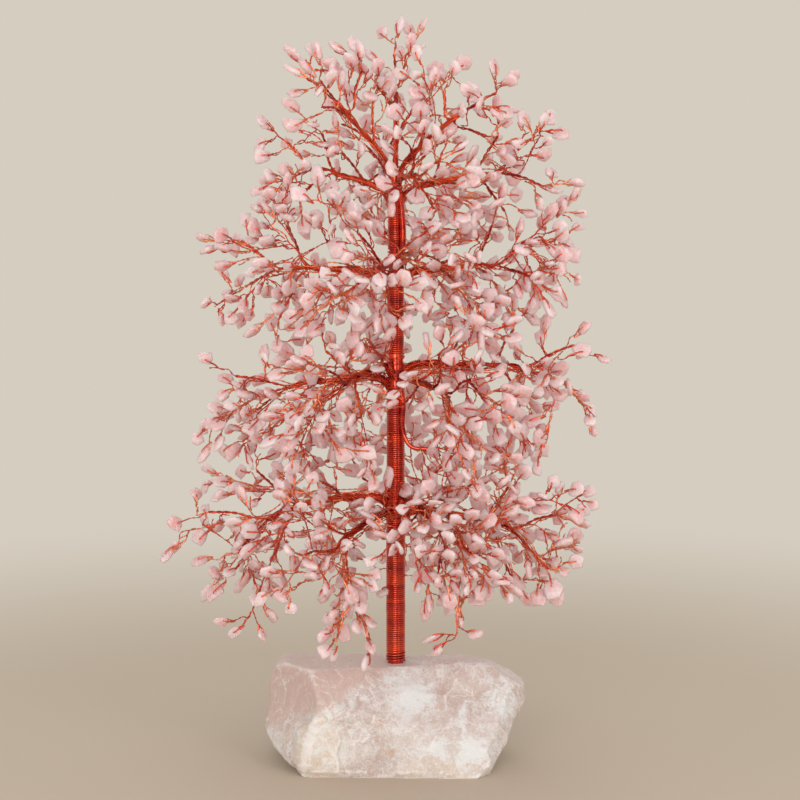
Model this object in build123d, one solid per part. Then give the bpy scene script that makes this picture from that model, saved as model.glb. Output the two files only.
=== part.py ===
"""Gemstone tree ornament: a wire tree with pink quartz chips for leaves, glued into a rough quartz stone.

Frame: the origin is on the stone's flat underside, below the trunk. +Z is up, +X is to the right
of a viewer in front of the tree, and +Y is away from that viewer. All lengths are in millimetres.
"""

import math
import os
import random

import numpy as np
from build123d import *

# Stone
STONE_LENGTH = 148.0
STONE_DEPTH = 100.0
STONE_HEIGHT = 57.0
SOCKET_DEPTH = 26.0
ADHESIVE_WALL = 0.8
FIT_CLEARANCE = 0.05
CUT_OVERRUN = 5.0

# Trunk
CORE_FOOT_RADIUS = 4.7
CORE_TOP_RADIUS = 3.6
CORE_TOP_HEIGHT = 340.0
WRAP_WALL = 0.9
COLLAR_HEIGHT = 14.0
BINDING_WIRE = 1.0
BINDING_PITCH = 1.6
BINDING_TURNS = 3

# Canopy: each tier's height above the table, and how far its limbs reach from the trunk
CANOPY_RADIUS = 128.0
LOWEST_TIER_HEIGHT = 146.0
LOWER_TIER_HEIGHT = 222.0
MIDDLE_TIER_HEIGHT = 281.0
UPPER_TIER_HEIGHT = 327.0
LIMB_STAGGER = 7.0

# Wire: half the thickness of each bundle where it starts, and where it ends
STEM_FOOT_RADIUS = 2.7
STEM_END_RADIUS = 2.1
LEADER_FOOT_RADIUS = 1.4
LEADER_END_RADIUS = 1.3
LEADER_SPREAD = 2.1
BOUGH_FOOT_RADIUS = 0.95
BOUGH_END_RADIUS = 0.8
TWIG_FOOT_RADIUS = 0.55
TWIG_END_RADIUS = 0.5
PRONG_FOOT_RADIUS = 0.45
PRONG_END_RADIUS = 0.4
TWIG_LENGTH = 14.0
PRONG_LENGTH = 8.0

# Chips
CHIP_LENGTH = 10.5
CHIP_WIDTH = 9.0
CHIP_THICKNESS = 5.6
PIECE_GAP = 0.12

# Counts
STEM_SIDES = 6
BOUGH_SIDES = 4
TWIG_SIDES = 3
TRIES = 6
SEED = 31

# The stone's flat facets: bearing and tilt of each outward normal, in degrees, and its distance from
# the stone's middle as a share of the distance of the stone's outermost corner that way
STONE_FACET_SHARES = [
    (-80, 42, 0.42),
    (-140, 15, 0.6),
    (-38, 12, 0.66),
    (-92, 8, 0.65),
    (-150, -38, 0.82),
    (-40, -36, 0.76),
    (181, 3, 0.97),
    (176, 22, 0.91),
    (186, 68, 0.89),
    (180, -50, 0.8),
    (-2, -29, 0.77),
    (4, 56, 0.8),
    (12, 82, 0.87),
    (22, 14, 0.88),
    (48, -10, 0.7),
    (84, 62, 0.66),
    (92, 12, 0.87),
    (90, -36, 0.84),
    (132, 16, 0.72),
    (138, -30, 0.74),
]

TIER_HEIGHTS = {
    "lowest": LOWEST_TIER_HEIGHT,
    "lower": LOWER_TIER_HEIGHT,
    "middle": MIDDLE_TIER_HEIGHT,
    "upper": UPPER_TIER_HEIGHT,
    "crown": CORE_TOP_HEIGHT,
}

# One row for each limb: tier, side, bearing in degrees from +X, reach as a share of the canopy
# radius, rise at the trunk and sag further out in degrees
LIMB_SHARES = [
    ("lowest", "right", -4, 0.88, -4, 10),
    ("lowest", "front_right", -56, 0.74, -8, 14),
    ("lowest", "front_left", -126, 0.78, -8, 16),
    ("lowest", "left", 176, 0.98, -2, 20),
    ("lowest", "back", 82, 0.8, -2, 10),
    ("lower", "right", 3, 0.95, 2, 6),
    ("lower", "front_right", -54, 0.7, 0, 8),
    ("lower", "front_left", -122, 0.72, 0, 10),
    ("lower", "left", 184, 0.8, 0, 10),
    ("lower", "back", 98, 0.75, 2, 6),
    ("middle", "right", -6, 0.76, 10, 8),
    ("middle", "front", -100, 0.62, 2, 8),
    ("middle", "left", 178, 0.86, 6, 6),
    ("middle", "back", 76, 0.7, 6, 6),
    ("upper", "right", 8, 0.78, 16, 8),
    ("upper", "front", -74, 0.54, 10, 8),
    ("upper", "left", 172, 0.66, 22, 12),
    ("upper", "back", 104, 0.6, 14, 6),
    ("crown", "right", -26, 0.66, 44, 8),
    ("crown", "left", 206, 0.68, 50, 4),
    ("crown", "leader", 90, 0.58, 80, -4),
]
FIRST_STEM_SHARE = 0.36
SECOND_STEM_SHARE = 0.26
STEM_STEP_SHARE = 0.92

# One row for each bough of a limb: the stem that carries it, its place along that stem (1 is the end),
# its turn to the side and its pitch in degrees, and its length as a share of the limb's reach
BOUGH_SHARES = [
    (0, 0.6, 60, 30, 0.25),
    (0, 0.74, -58, -26, 0.27),
    (1, 0.4, -40, 52, 0.25),
    (1, 0.5, 42, -46, 0.28),
    (1, 1, -34, -16, 0.24),
    (1, 1, 0, 30, 0.24),
    (1, 1, 34, -16, 0.24),
]
BOUGH_WANDER = 10.0

# Places along a bough where its twigs leave it, and along a twig where its prong leaves it
TWIG_PLACE_SHARES = [0.4, 0.75, 1]
PRONG_PLACE_SHARE = 0.45
TWIG_SPREAD_SHARE = 1.1
PRONG_SPREAD_SHARE = 1.4
LENGTH_SPREAD_SHARE = 0.3
SIZE_SPREAD_SHARE = 0.18
CAP_SPREAD_SHARE = 1.25
LEAST_LEAN_SHARE = 0.4

# A chip's seat and ridge against its width, and its girdle's place along its length
CHIP_SEAT_SHARE = 0.42
CHIP_RIDGE_SHARE = 0.64
CHIP_GIRDLE_SHARE = 0.46
CHIP_LEAN_SHARE = 0.25
CHIP_SKEW = 16.0

random_source = random.Random(SEED)


def direction(bearing, pitch):
    """The unit vector at a bearing from +X and a pitch above the horizon, in degrees."""
    turn, tilt = math.radians(bearing), math.radians(pitch)
    return Vector(math.cos(turn) * math.cos(tilt), math.sin(turn) * math.cos(tilt), math.sin(tilt))


def wander(spread):
    """A random amount, up to the spread either way."""
    return random_source.uniform(-spread, spread)


def varied(size, spread_share):
    """A size that differs from piece to piece by up to the given share."""
    return size * (1 + wander(spread_share))


def ring_pairs(ring):
    """Each corner of a closed ring with the next one."""
    return zip(ring, ring[1:] + ring[:1])


def flat_solid(loops):
    """A closed solid with flat faces: each loop of corners runs anticlockwise seen from outside."""
    return Solid(Shell([Face(Wire.make_polygon(loop, close=True)) for loop in loops]))


def turned(corners):
    """A solid of revolution about the trunk's axis, from corners given as radius and height."""
    outline = Wire.make_polygon([Vector(radius, 0, height) for radius, height in corners], close=True)
    return revolve(Face(outline), Axis.Z).solid()


class Rod:
    """A straight, tapering bundle of twisted wire with flat sides, cut flush on what carries it."""

    def __init__(self, seat, seat_normal, axis, length, foot_radius, end_radius, sides):
        self.seat = seat
        self.axis = axis
        self.end = seat + axis * length
        self.radius = foot_radius
        across = Plane(origin=seat, z_dir=axis)
        turns = [2 * math.pi * k / sides for k in range(sides)]
        spokes = [across.x_dir * math.cos(turn) + across.y_dir * math.sin(turn) for turn in turns]
        self.square_foot = [seat + spoke * foot_radius for spoke in spokes]
        self.end_ring = [self.end + spoke * end_radius for spoke in spokes]
        self.foot_ring = []
        for low, high in zip(self.square_foot, self.end_ring):
            run = high - low
            self.foot_ring.append(low + run * ((seat - low).dot(seat_normal) / run.dot(seat_normal)))

    def side_seat(self, way, place_share):
        """The point at a share of the length on the side that faces a given way, and its normal."""
        seats = []
        for (low, next_low), (high, next_high) in zip(ring_pairs(self.square_foot), ring_pairs(self.end_ring)):
            foot, end = (low + next_low) / 2, (high + next_high) / 2
            normal = (next_low - low).cross(end - foot).normalized()
            seats.append((foot + (end - foot) * place_share, normal))
        return max(seats, key=lambda seat: seat[1].dot(way))

    def end_seat(self, way, offset):
        """A point on the end face, moved from its centre to the side of a given way, and its normal."""
        aside = way - self.axis * way.dot(self.axis)
        return self.end + aside.normalized() * offset, self.axis

    def solid(self):
        loops = [self.foot_ring[::-1], self.end_ring]
        for (low, next_low), (high, next_high) in zip(ring_pairs(self.foot_ring), ring_pairs(self.end_ring)):
            loops.append([low, next_low, next_high, high])
        return flat_solid(loops)


class Chip:
    """A tumbled chip of stone: a small seat on its wire's end, a wide girdle and a blunt ridge."""

    def __init__(self, seat, axis):
        length = varied(CHIP_LENGTH, SIZE_SPREAD_SHARE)
        width = varied(CHIP_WIDTH, SIZE_SPREAD_SHARE)
        thickness = varied(CHIP_THICKNESS, SIZE_SPREAD_SHARE)
        across = Plane(origin=seat, z_dir=axis)
        roll = random_source.uniform(0, 180)
        spokes = []
        for k, size in enumerate((width, thickness, width, thickness)):
            turn = math.radians(roll + 90 * k + wander(CHIP_SKEW))
            spokes.append((across.x_dir * math.cos(turn) + across.y_dir * math.sin(turn)) * size / 2)
        lean = spokes[0] * wander(CHIP_LEAN_SHARE)
        self.seat = seat
        self.tip = seat + axis * length + lean
        self.seat_ring = [seat + spoke * CHIP_SEAT_SHARE for spoke in spokes]
        self.girdle = [seat + axis * length * CHIP_GIRDLE_SHARE + lean + spoke for spoke in spokes]
        self.ridge = [self.tip + spokes[k] * varied(CHIP_RIDGE_SHARE, SIZE_SPREAD_SHARE) for k in (0, 2)]
        self.start = seat + axis * width * CHIP_GIRDLE_SHARE + lean
        self.end = self.tip - axis * width * CHIP_SEAT_SHARE
        self.radius = width / 2

    def solid(self):
        loops = [self.seat_ring[::-1]]
        for (low, next_low), (high, next_high) in zip(ring_pairs(self.seat_ring), ring_pairs(self.girdle)):
            loops.append([low, next_low, next_high, high])
        first, last = self.ridge
        for (corner, next_corner), peak in zip(ring_pairs(self.girdle), (first, last, last, first)):
            loops.append([corner, next_corner, peak])
        loops.append([self.girdle[1], last, first])
        loops.append([self.girdle[3], first, last])
        return flat_solid(loops)


class Room:
    """The room already taken, kept as round-ended rods, so that no two pieces meet."""

    def __init__(self):
        self.starts = np.empty((0, 3))
        self.ends = np.empty((0, 3))
        self.radii = np.empty(0)

    def take(self, start, end, radius):
        """Marks a rod's room as taken, and gives the mark that names it."""
        self.starts = np.vstack([self.starts, tuple(start)])
        self.ends = np.vstack([self.ends, tuple(end)])
        self.radii = np.append(self.radii, radius)
        return len(self.radii) - 1

    def is_free(self, start, end, radius, carriers=()):
        """True if a rod there stays clear of every rod taken, apart from those that carry it."""
        start, end = np.array(tuple(start)), np.array(tuple(end))
        run, runs = end - start, self.ends - self.starts
        apart = start - self.starts
        own, others, mixed = run @ run, (runs * runs).sum(1), runs @ run
        own_lead, other_lead = apart @ run, (apart * runs).sum(1)
        spread = own * others - mixed * mixed
        parallel = spread <= 0
        share = np.where(parallel, 0, (mixed * other_lead - own_lead * others) / np.where(parallel, 1, spread))
        other_share = np.clip((mixed * np.clip(share, 0, 1) + other_lead) / others, 0, 1)
        share = np.clip((mixed * other_share - own_lead) / own, 0, 1)
        between = apart + share[:, None] * run - other_share[:, None] * runs
        clear = np.linalg.norm(between, axis=1) - self.radii - radius > PIECE_GAP
        clear[list(carriers)] = True
        return bool(clear.all())


def collar_tops():
    """The heights above which the trunk is thinner, because a tier's limbs have left it below."""
    return [height + COLLAR_HEIGHT for height in TIER_HEIGHTS.values() if height < UPPER_TIER_HEIGHT]


def core_radius(height):
    """The trunk core's radius, which steps down above each tier."""
    steps = collar_tops()
    passed = sum(height > step for step in steps)
    return CORE_FOOT_RADIUS - (CORE_FOOT_RADIUS - CORE_TOP_RADIUS) * passed / len(steps)


def base_stone():
    """A rough lump of quartz, broken to flat facets, with a sawn underside and a drilled socket."""
    stone = Pos(0, 0, STONE_HEIGHT / 2) * Box(STONE_LENGTH, STONE_DEPTH, STONE_HEIGHT)
    for bearing, tilt, distance_share in STONE_FACET_SHARES:
        normal = direction(bearing, tilt)
        spans = abs(normal.X) * STONE_LENGTH, abs(normal.Y) * STONE_DEPTH, abs(normal.Z) * STONE_HEIGHT
        origin = Vector(0, 0, STONE_HEIGHT / 2) + normal * sum(spans) / 2 * distance_share
        stone = split(stone, bisect_by=Plane(origin=origin, z_dir=normal), keep=Keep.BOTTOM)
    bottom_up = (Align.CENTER, Align.CENTER, Align.MIN)
    socket = Cylinder(CORE_FOOT_RADIUS + ADHESIVE_WALL, SOCKET_DEPTH + CUT_OVERRUN, align=bottom_up)
    return (stone - Pos(0, 0, STONE_HEIGHT - SOCKET_DEPTH) * socket).solid()


def adhesive_bed():
    """The set adhesive that lines the socket and holds the trunk."""
    floor = STONE_HEIGHT - SOCKET_DEPTH + FIT_CLEARANCE
    step = floor + ADHESIVE_WALL
    inner = CORE_FOOT_RADIUS + FIT_CLEARANCE
    outer = CORE_FOOT_RADIUS + ADHESIVE_WALL - FIT_CLEARANCE
    rim = [(outer, STONE_HEIGHT), (inner, STONE_HEIGHT)]
    return turned([(0, floor), (outer, floor), *rim, (inner, step), (0, step)])


def trunk_core():
    """The bundle of all the limbs' wires, drawn tight into one trunk that steps down tier by tier."""
    floor = STONE_HEIGHT - SOCKET_DEPTH + ADHESIVE_WALL + 2 * FIT_CLEARANCE
    corners = [(0, floor)]
    levels = [floor, *collar_tops(), CORE_TOP_HEIGHT]
    for low, high in zip(levels, levels[1:]):
        corners += [(core_radius(high), low), (core_radius(high), high)]
    return turned([*corners, (0, CORE_TOP_HEIGHT)])


def trunk_wrap(low, high):
    """A close winding of fine wire round one stretch of the trunk, as a sleeve."""
    inner = core_radius(high) + FIT_CLEARANCE
    outer = inner + WRAP_WALL
    return turned([(inner, low), (outer, low), (outer, high), (inner, high)])


def biarc(start, start_way, end, end_way):
    """Two arcs that leave start one way and reach end another way, with no corner between them."""
    across, ways = start - end, start_way + end_way
    square = 2 * (1 - start_way.dot(end_way))
    lead = across.dot(ways)
    reach = (lead + math.sqrt(lead * lead + square * across.dot(across))) / square
    meeting = (start + end + (start_way - end_way) * reach) / 2
    meeting_way = (end - start - ways * reach).normalized()
    first = Edge.make_tangent_arc(start, start_way, meeting)
    return [first, Edge.make_tangent_arc(meeting, meeting_way, end)]


def binding(low):
    """A few open turns of heavier wire round the trunk, as one helix with a straight tail at each end."""
    radius = core_radius(low) + FIT_CLEARANCE + BINDING_WIRE / 2
    points, ways = [], []
    for k in range(2 * BINDING_TURNS + 1):
        turn = math.pi * k
        points.append(Vector(radius * math.cos(turn), radius * math.sin(turn), low + BINDING_PITCH * k / 2))
        climb = BINDING_PITCH / (2 * math.pi)
        ways.append(Vector(-radius * math.sin(turn), radius * math.cos(turn), climb).normalized())
    tail_start = points[0] - ways[0] * BINDING_WIRE
    edges = [Edge.make_line(tail_start, points[0])]
    for k in range(2 * BINDING_TURNS):
        edges += biarc(points[k], ways[k], points[k + 1], ways[k + 1])
    edges.append(Edge.make_line(points[-1], points[-1] + ways[-1] * BINDING_WIRE))
    section = Plane(origin=tail_start, z_dir=ways[0], x_dir=points[0] - Vector(0, 0, low))
    return sweep(section * RegularPolygon(BINDING_WIRE / 2, TWIG_SIDES), path=Wire(edges)).solid()


def binding_gap(low):
    """The least gap between the turns of a binding, measured on points along its wire."""
    radius = core_radius(low) + FIT_CLEARANCE + BINDING_WIRE / 2
    per_turn = 48
    turns = np.arange(per_turn * BINDING_TURNS + 1) / per_turn
    angles = 2 * np.pi * turns
    points = np.stack([radius * np.cos(angles), radius * np.sin(angles), BINDING_PITCH * turns], axis=1)
    apart = np.linalg.norm(points[:, None] - points[None], axis=2)
    separate_turns = np.abs(turns[:, None] - turns[None]) > 0.5
    return apart[separate_turns].min() - BINDING_WIRE


def grow_stems(tier, index, bearing, reach, rise, sag, room):
    """The two stems of a limb: the first from the trunk, the second from the first one's end."""
    way, level = direction(bearing, rise), TIER_HEIGHTS[tier]
    if tier == "crown":
        foot_radius, end_radius = LEADER_FOOT_RADIUS, LEADER_END_RADIUS
        normal, trunk_radius = Vector(0, 0, 1), 0
        seat = direction(bearing, 0) * LEADER_SPREAD + normal * (level + FIT_CLEARANCE)
    else:
        foot_radius, end_radius = STEM_FOOT_RADIUS, STEM_END_RADIUS
        level += LIMB_STAGGER * (index % 2)
        normal, trunk_radius = direction(bearing, 0), core_radius(level) + FIT_CLEARANCE
        seat = normal * trunk_radius + Vector(0, 0, level)
    middle_radius = (foot_radius + end_radius) / 2
    length = reach * FIRST_STEM_SHARE - trunk_radius
    first = Rod(seat, normal, way, length, foot_radius, middle_radius, STEM_SIDES)
    onward = direction(bearing + wander(BOUGH_WANDER), rise - sag)
    step_radius = middle_radius * STEM_STEP_SHARE
    length = reach * SECOND_STEM_SHARE
    second = Rod(first.end, first.axis, onward, length, step_radius, end_radius, STEM_SIDES)
    for stem in (first, second):
        stem.mark = room.take(stem.seat, stem.end, stem.radius)
    return [first, second]


def grow_boughs(stems, reach, room):
    """The boughs that leave a limb's two stems."""
    boughs = []
    for stem_index, place_share, turn, pitch, length_share in BOUGH_SHARES:
        stem = stems[stem_index]
        bearing = math.degrees(math.atan2(stem.axis.Y, stem.axis.X))
        rise = math.degrees(math.asin(stem.axis.Z))
        for _ in range(TRIES):
            way = direction(bearing + turn + wander(BOUGH_WANDER), rise + pitch + wander(BOUGH_WANDER))
            if place_share < 1:
                seat, normal = stem.side_seat(way, place_share)
            else:
                seat, normal = stem.end_seat(way, BOUGH_FOOT_RADIUS * CAP_SPREAD_SHARE)
            length = varied(reach * length_share, SIZE_SPREAD_SHARE)
            bough = Rod(seat, normal, way, length, BOUGH_FOOT_RADIUS, BOUGH_END_RADIUS, BOUGH_SIDES)
            is_high = bough.end.Z > STONE_HEIGHT + CHIP_LENGTH
            is_seated = normal.dot(way) > LEAST_LEAN_SHARE
            if is_high and is_seated and room.is_free(seat, bough.end, bough.radius, [stem.mark]):
                bough.mark = room.take(seat, bough.end, bough.radius)
                boughs.append(bough)
                break
    return boughs


def grow_leaf(carrier, place_share, length, foot_radius, end_radius, spread_share, room):
    """A wire that leaves its carrier and the chip on its end, or None where there is no room for them."""
    for _ in range(TRIES):
        aside = Vector(wander(spread_share), wander(spread_share), wander(spread_share))
        way = (carrier.axis + aside).normalized()
        seat, normal = carrier.side_seat(way, place_share) if place_share < 1 else (carrier.end, carrier.axis)
        if normal.dot(way) < LEAST_LEAN_SHARE:
            continue
        wire = Rod(seat, normal, way, varied(length, LENGTH_SPREAD_SHARE), foot_radius, end_radius, TWIG_SIDES)
        chip = Chip(wire.end, way)
        is_high = min(chip.tip.Z, chip.seat.Z) > STONE_HEIGHT + chip.radius
        wire_is_free = room.is_free(seat, wire.end, wire.radius, [carrier.mark])
        if is_high and wire_is_free and room.is_free(chip.start, chip.end, chip.radius):
            wire.mark = room.take(seat, wire.end, wire.radius)
            room.take(chip.start, chip.end, chip.radius)
            return wire, chip
    return None


def grow_leaves(bough, room):
    """The twigs of a bough with a chip on each, and a prong with one more chip on the last twig."""
    twig_sizes = TWIG_LENGTH, TWIG_FOOT_RADIUS, TWIG_END_RADIUS, TWIG_SPREAD_SHARE
    prong_sizes = PRONG_LENGTH, PRONG_FOOT_RADIUS, PRONG_END_RADIUS, PRONG_SPREAD_SHARE
    leaves = [grow_leaf(bough, place_share, *twig_sizes, room) for place_share in TWIG_PLACE_SHARES]
    if leaves[-1]:
        leaves.append(grow_leaf(leaves[-1][0], PRONG_PLACE_SHARE, *prong_sizes, room))
    return [leaf for leaf in leaves if leaf]


def grow_canopy():
    """Every limb by name, with its wires and its leaves: first all stems, then all boughs, then leaves."""
    room = Room()
    room.take((0, 0, 0), (0, 0, CORE_TOP_HEIGHT), CORE_FOOT_RADIUS + WRAP_WALL)
    limbs = {}
    for index, (tier, side, bearing, reach_share, rise, sag) in enumerate(LIMB_SHARES):
        reach = CANOPY_RADIUS * reach_share
        stems = grow_stems(tier, index, bearing, reach, rise, sag, room)
        limbs[f"{tier}_{side}"] = {"tier": tier, "reach": reach, "stems": stems}
    for limb in limbs.values():
        limb["boughs"] = grow_boughs(limb["stems"], limb["reach"], room)
    for limb in limbs.values():
        limb["leaves"] = [leaf for bough in limb["boughs"] for leaf in grow_leaves(bough, room)]
    return limbs


def write(name, solids):
    export_step(Compound(solids), f"parts/{name}.step")


def write_trunk():
    """The core, its close wraps between the tiers, and the open bindings at its foot and below a tier."""
    write("trunk_core", [trunk_core()])
    winding = BINDING_PITCH * BINDING_TURNS
    foot = STONE_HEIGHT + BINDING_WIRE
    below_limbs = LOWER_TIER_HEIGHT - STEM_FOOT_RADIUS - BINDING_WIRE - winding
    write("trunk_bindings", [binding(foot), binding(below_limbs)])
    gap = min(binding_gap(foot), binding_gap(below_limbs))
    print("least gap between the turns of a binding:", round(gap, 3))
    wrap_low = foot + winding + BINDING_WIRE
    for tier, height in TIER_HEIGHTS.items():
        if tier != "crown":
            top = below_limbs if tier == "lower" else height - STEM_FOOT_RADIUS
            write(f"trunk_wrap_{tier}", [trunk_wrap(wrap_low, top - BINDING_WIRE)])
            wrap_low = height + COLLAR_HEIGHT


def write_canopy():
    """Each limb's bundle of wire, its chips, and each tier's twigs."""
    limbs = grow_canopy()
    for name, limb in limbs.items():
        write(f"limb_{name}", [rod.solid() for rod in limb["stems"] + limb["boughs"]])
        write(f"chips_{name}", [chip.solid() for _, chip in limb["leaves"]])
    for tier in TIER_HEIGHTS:
        leaves = [leaf for limb in limbs.values() if limb["tier"] == tier for leaf in limb["leaves"]]
        write(f"twigs_{tier}", [wire.solid() for wire, _ in leaves])
    print("boughs:", sum(len(limb["boughs"]) for limb in limbs.values()))
    print("chips:", sum(len(limb["leaves"]) for limb in limbs.values()))


def main():
    os.makedirs("parts", exist_ok=True)
    write("base_stone", [base_stone()])
    write("adhesive_bed", [adhesive_bed()])
    write_trunk()
    write_canopy()


main()
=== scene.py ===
"""Dresses the gemstone tree around its solids: wound trunk, bundled limbs, twisted twigs, chips and stone"""

import math
import random
from collections import namedtuple

import bmesh
import bpy
import numpy as np
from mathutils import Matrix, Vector, kdtree, noise


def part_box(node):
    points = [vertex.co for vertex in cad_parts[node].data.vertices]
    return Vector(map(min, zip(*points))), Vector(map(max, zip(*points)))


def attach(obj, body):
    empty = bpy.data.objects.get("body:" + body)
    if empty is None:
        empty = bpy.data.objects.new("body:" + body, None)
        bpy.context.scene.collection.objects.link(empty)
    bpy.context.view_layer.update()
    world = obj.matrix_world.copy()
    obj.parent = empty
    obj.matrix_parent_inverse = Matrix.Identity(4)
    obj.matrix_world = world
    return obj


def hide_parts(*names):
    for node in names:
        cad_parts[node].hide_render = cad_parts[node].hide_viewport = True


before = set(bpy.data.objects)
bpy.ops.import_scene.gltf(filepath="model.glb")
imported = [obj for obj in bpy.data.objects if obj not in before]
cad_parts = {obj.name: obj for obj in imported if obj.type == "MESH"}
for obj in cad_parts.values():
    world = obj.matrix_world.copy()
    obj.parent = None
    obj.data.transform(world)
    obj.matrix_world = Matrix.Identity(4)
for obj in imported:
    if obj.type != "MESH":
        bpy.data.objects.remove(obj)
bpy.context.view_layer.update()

MM = 0.001
SEED = 12
draw = random.Random(SEED)
noise.seed_set(SEED)
JOIN = 0.001 * MM
FULL_TURN = 2 * math.pi

# Limbs: strands in rings, which leave the bundle two by two
STRAND = 0.48 * MM
STRAND_SIDES_RESOLUTION = 1
BUNDLE_RINGS = [(2.1 * MM, 10), (1.05 * MM, 5), (0.0, 1)]
BUNDLE_SEATS = [(ring, FULL_TURN * k / count) for ring, count in BUNDLE_RINGS for k in range(count)]
BUNDLE_TURN = 24 * MM
BUNDLE_SCALES = {"lowest": 0.9, "lower": 0.88, "middle": 0.82, "upper": 0.7, "crown": 0.55}
BUNDLE_TAPER = 0.45
BUNDLE_LOOSENESS = 0.28
LOOSE_WAVE = 31 * MM
LEAVING_LENGTH = 6 * MM
PAIR_RING = 0.5 * MM
PAIR_TURN = 9 * MM
PAIR_TAPER = 0.12
LINE_STEP = 2.0 * MM
STEM_SIDES = 6
BOUGH_SIDES = 4
STEM_BOW = 1.2 * MM
LEADER_DROPS = (14 * MM, 5 * MM)

# Where a limb comes out of the trunk, in mm: how far from the axis, and how far below the limb's foot
ROOT_KNOTS_MM = [(1.5, 12), (3.0, 5)]

# The fine winding of a limb's root, by shares of the length that it may cover
LIMB_WINDING_WIRE = 0.34 * MM
LIMB_WINDING_PITCH = 0.95 * MM
LIMB_WINDING_STEPS = 11
WOUND_FROM = 0.06
WOUND_TO = (0.14, 0.28)
WOUND_FURTHER = {"middle": 0.16, "lower": 0.06}

# Twigs: two twisted wires, drawn as one flat outline that turns
TWIG_STEP = 0.85 * MM
TWIG_TURN = 6.5 * MM
TWIG_PROFILE = [(0.52 * MM, 0.0), (0.0, 0.34 * MM), (-0.52 * MM, 0.0), (0.0, -0.34 * MM)]
TWIG_TAPER = 0.8
TWIG_BOW = (0.05, 0.16)
PRONG_CHANCE = 0.6
PRONG_FORK = (0.4, 0.7)
PRONG_LENGTHS_MM = (4.5, 8.0)

# Trunk
TRUNK_WIRE = 0.64 * MM
TRUNK_PITCH = 1.22 * MM
TRUNK_STEPS = 26
TRUNK_OVERHANG = 1.4 * MM
LOWEST_WINDING_SHARES = [0.0, 0.31, 0.38, 1.0]
SECOND_LENGTH_RISE = 0.12 * MM
WINDING_FLATNESS = 0.62
WINDING_SIDES = 8
WINDING_SWELL = 0.018
SWELL_HEIGHT = 2.2 * MM
HEAVY_WIRE = 0.66 * MM
HEAVY_PITCH = 1.35 * MM
HEAVY_STEPS = 30
COLLAR_WIRES = 16
COLLAR_WIRE = 0.55 * MM
COLLAR_DEPTH = 0.6 * MM
COLLAR_TURNS = (0.4, 1.1)
COLLAR_RISES_MM = (1.0, 5.0)
SIDE_BUNDLE = 1.6 * MM
SIDE_BEARING = math.radians(-48)

# Twigs tied to the trunk or a side bundle, in mm and degrees: height, bearing, distance from the axis, rise
# and length
TRUNK_TWIGS = [
    (304, 200, 5, 20, 16),
    (306, 188, 5, 35, 18),
    (288, -22, 5, 30, 18),
    (211, 196, 5, -10, 19),
    (112, 205, 5, 28, 17),
    (108, -18, 5, 24, 18),
    (184, -30, 16, -65, 14),
    (183, -16, 21, -50, 16),
    (183, -8, 25, -25, 13),
    (183, -22, 25, 24, 12),
]

# Twigs that hang before the trunk, in the same form
FRONT_TWIGS = [
    (192, 228, 5, -15, 7),
    (187, 212, 5, 10, 10),
    (190, 196, 5, 0, 14),
    (167, 245, 5, -20, 7),
    (163, 290, 5, -12, 7),
    (104, 240, 5, -18, 6),
    (264, 222, 5, 22, 12),
    (262, 252, 5, -28, 9),
    (261, 292, 5, -38, 9),
    (263, 318, 5, 12, 12),
]

# Stone
STONE_GRAIN = 0.85 * MM
STONE_ROUNDING = 10

# Bowls broken out of the stone: how many, how much they tilt and how deep they are
STONE_BOWLS = [(60, 0.055, 1.2 * MM), (420, 0.06, 0.34 * MM)]
NEAR_BOWLS = 10
RAGGEDNESS = 0.16
RAGGED_WAVE = 1.8
DEEPEST = -1.6 * MM
HIGHEST = 1.0 * MM
GRAIN_RISE = 0.16 * MM
GRAIN_WAVE = 260

# A lump on the stone's front, a bulge on its left, and the smoother clear face above a slanting line
LUMP_PLACE = np.array([-44, -40, 14]) * MM
LUMP_SIZES = np.array([15, 24, 21]) * MM
LUMP_EDGE = -31 * MM
LUMP_EDGE_WAVE = 9 * MM
LUMP_EDGE_SWAY = 3 * MM
LUMP_EDGE_FADE = 0.9 * MM
LUMP_RISE = 4.6 * MM
BULGE_PLACE = np.array([-62, 0, 15]) * MM
BULGE_SIZES = np.array([22, 90, 17]) * MM
BULGE_RISE = 3.6 * MM
CLEAR_SLOPE = 0.45
CLEAR_HEIGHT = 57 * MM
CLEAR_FADE = 4 * MM
CLEAR_SMOOTHNESS = 0.65
# Height above the neighbours at which the painted highlight on ridges is full
RIDGE_HEIGHT = 0.3 * MM

# What stays of the frame's stone: its seat round the trunk and its sawn underside
SEAT_RADIUS = 9 * MM
SEAT_FADE = 8 * MM
SEAT_HEIGHT = 12 * MM
UNDERSIDE_RIM = 0.4 * MM
UNDERSIDE_FADE = 3 * MM

# Patches on the stone, in metres: middle, sizes and, for two of them, the share of the size at full strength
STONE_PATCHES = {
    "white_middle": ((0.010, -0.036, 0.047), (0.021, 0.03, 0.019)),
    "white_corner": ((0.06, -0.02, 0.04), (0.013, 0.03, 0.015)),
    "white_foot": ((0.043, -0.036, 0.016), (0.011, 0.03, 0.01)),
    "white_spot": ((0.023, -0.04, 0.016), (0.008, 0.03, 0.007)),
    "white_vein": ((0.038, -0.04, 0.033), (0.0026, 0.03, 0.02)),
    "facet": ((0.037, -0.03, 0.047), (0.02, 0.03, 0.01), 0.6),
    "gravel": ((-0.014, -0.042, 0.005), (0.024, 0.03, 0.013)),
    "cream_lump": ((-0.043, -0.044, 0.015), (0.017, 0.03, 0.026), 0.7),
    "cream_foot": ((0.024, -0.04, 0.003), (0.034, 0.03, 0.011)),
    "brown_low": ((-0.003, -0.042, 0.015), (0.007, 0.03, 0.005)),
    "brown_high": ((-0.01, -0.042, 0.031), (0.004, 0.03, 0.005)),
}

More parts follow.
